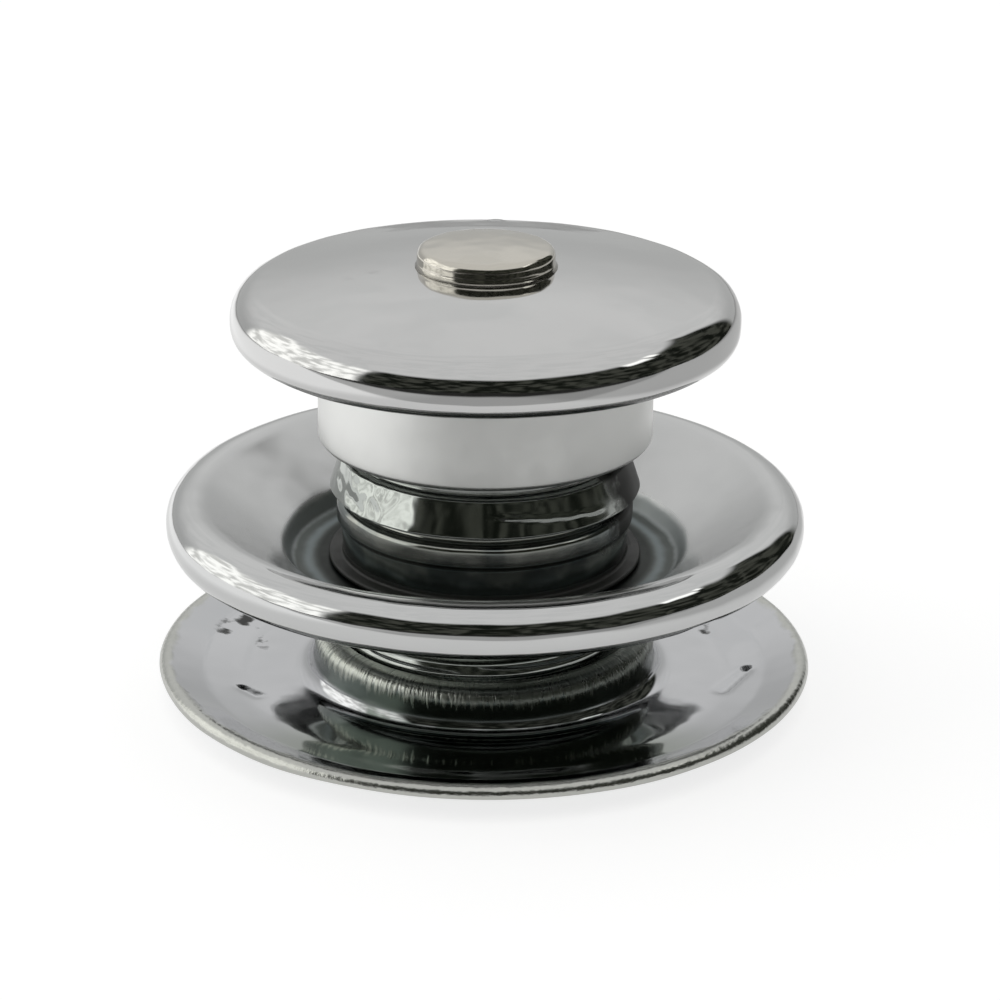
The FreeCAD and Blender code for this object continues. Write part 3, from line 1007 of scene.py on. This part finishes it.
def make_spring():
    _, bottom, top = node_size("return_spring")
    first = bottom + SPRING_WIRE_R
    last = top - SPRING_WIRE_R
    return coil("spring_coil", SPRING_R, SPRING_WIRE_R, first, last, SPRING_TURNS)


# Studio

def make_world():
    """White to the camera. Reflections see a pale room, dark behind the camera, with a window on the left."""
    world = bpy.data.worlds.new("studio")
    bpy.context.scene.world = world
    world.use_nodes = True
    world.node_tree.nodes.clear()
    tree = Tree(world.node_tree)
    outward = tree.texture.outputs["Generated"]
    x, y, z = tree.split(outward)
    azimuth = tree.azimuth(x, y)
    elevation = tree.calc("MULTIPLY", tree.calc("ARCSINE", z), math.degrees(1))

    def patch(left, right, low, high, soft):
        """1 inside a patch of the room, fading to 0 round it."""
        return tree.both(tree.between(azimuth, left, right, soft), tree.between(elevation, low, high, soft))

    mottled = tree.ramp(tree.noise(outward, ROOM_SCALE, 3.0), *ROOM_SPAN)
    room = tree.blend(mottled, *ROOM_TONES)
    room = tree.blend(tree.ramp(elevation, *LOW_ROOM_FADE), room, LOW_ROOM_TONE)
    room = tree.blend(patch(*GLOOM_PATCH), room, tree.blend(mottled, *GLOOM_TONES))
    room = tree.blend(patch(*WINDOW_PATCH), room, tree.blend(mottled, *WINDOW_TONES))
    for small in SMALL_LIGHTS:
        room = tree.blend(patch(*small), room, SMALL_LIGHT_TONE)

    seen = tree.add("ShaderNodeBackground")
    tree.feed(seen.inputs["Color"], (1, 1, 1))
    lit = tree.add("ShaderNodeBackground")
    tree.feed(lit.inputs["Color"], room)
    choice = tree.add("ShaderNodeMixShader")
    tree.feed(choice.inputs["Fac"], tree.add("ShaderNodeLightPath").outputs["Is Camera Ray"])
    tree.feed(choice.inputs[1], lit.outputs["Background"])
    tree.feed(choice.inputs[2], seen.outputs["Background"])
    output = tree.add("ShaderNodeOutputWorld")
    tree.feed(output.inputs["Surface"], choice.outputs["Shader"])


def make_floor():
    """White to the camera, with painted light that only reflections see: a glow, brighter on the window's
    side, that ends before a dark table. Shadows stay on it.
    """
    bpy.ops.mesh.primitive_plane_add(size=FLOOR_SIDE, location=(0, 0, FLOOR_Z))
    floor = bpy.context.object
    floor.name = "floor"
    material = bpy.data.materials.new("white_card")
    material.use_nodes = True
    tree = Tree(material.node_tree)
    shader = tree.tree.nodes["Principled BSDF"]
    place = tree.texture.outputs["Object"]
    x, y, _ = tree.split(place)
    table = tree.ramp(y, *TABLE_Y)
    # Painted light: a glow on the floor for reflections, brightest on the left and dimmer at the right and
    # front
    painted_glow = tree.both(tree.ramp(y, *GLOW_FRONT), tree.ramp(y, *GLOW_BACK))
    painted_glow = tree.both(painted_glow, tree.both(tree.ramp(x, *GLOW_LEFT), tree.ramp(x, *GLOW_RIGHT)))
    painted_glow = tree.both(painted_glow, tree.calc("SUBTRACT", 1.0, table), FLOOR_GLOW)

    rays = tree.add("ShaderNodeLightPath")
    mirrored = tree.calc("MAXIMUM", rays.outputs["Is Glossy Ray"], rays.outputs["Is Transmission Ray"])
    seen = tree.both(rays.outputs["Is Camera Ray"], tree.ramp(table, 0.0, 1.0, FLOOR_GLOW, 1.0))
    glow = tree.calc("MAXIMUM", seen, tree.both(mirrored, painted_glow))
    shader.inputs["Roughness"].default_value = 0.9
    shader.inputs["Specular IOR Level"].default_value = 0.1
    shader.inputs["Emission Color"].default_value = (1, 1, 1, 1)
    paper = tree.blend(tree.noise(place, PAPER_SCALE), *PAPER_TONES)
    tree.feed(shader.inputs["Base Color"], tree.blend(table, paper, TABLE_TONE))
    tree.feed(shader.inputs["Emission Strength"], glow)
    floor.data.materials.append(material)


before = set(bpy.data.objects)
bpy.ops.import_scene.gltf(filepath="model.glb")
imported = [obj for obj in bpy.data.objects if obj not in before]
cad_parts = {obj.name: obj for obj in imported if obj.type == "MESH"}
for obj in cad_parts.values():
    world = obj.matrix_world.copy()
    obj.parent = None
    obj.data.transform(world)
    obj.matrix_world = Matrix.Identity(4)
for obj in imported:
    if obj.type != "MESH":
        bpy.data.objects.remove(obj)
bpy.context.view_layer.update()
bpy.context.scene.view_settings.view_transform = "Standard"
make_camera()
make_world()
make_floor()

nickel = plain_metal("pin_nickel", NICKEL_TONES, NICKEL_ROUGHNESS)
brass = plain_metal("turned_brass", BRASS_TONES, BRASS_ROUGHNESS)
steel = plain_metal("spring_steel", WIRE_TONES, WIRE_ROUGHNESS)
polished = plain_metal("ball_steel", BALL_TONES, BALL_ROUGHNESS)

wear(make_lower_flange(), lower_metal(), "lower_flange", "lower_flange")
wear(make_upper_flange(), upper_metal(), "upper_flange", "upper_flange")
wear(make_barrel(), barrel_metal(), "barrel", "barrel")
wear(make_knob(), knob_metal(), "knob", "pull_knob")
wear(make_pin(), nickel, "knob", "knob_pin")
spring = make_spring()
wear(spring, steel, "barrel", "return_spring")
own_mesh(spring)

for node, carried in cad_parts.items():
    if node in ("guide_bush", "ball_cage"):
        carried.data.materials.clear()
        carried.data.materials.append(brass)
    elif node.startswith("lock_ball"):
        carried.data.materials.clear()
        carried.data.materials.append(polished)
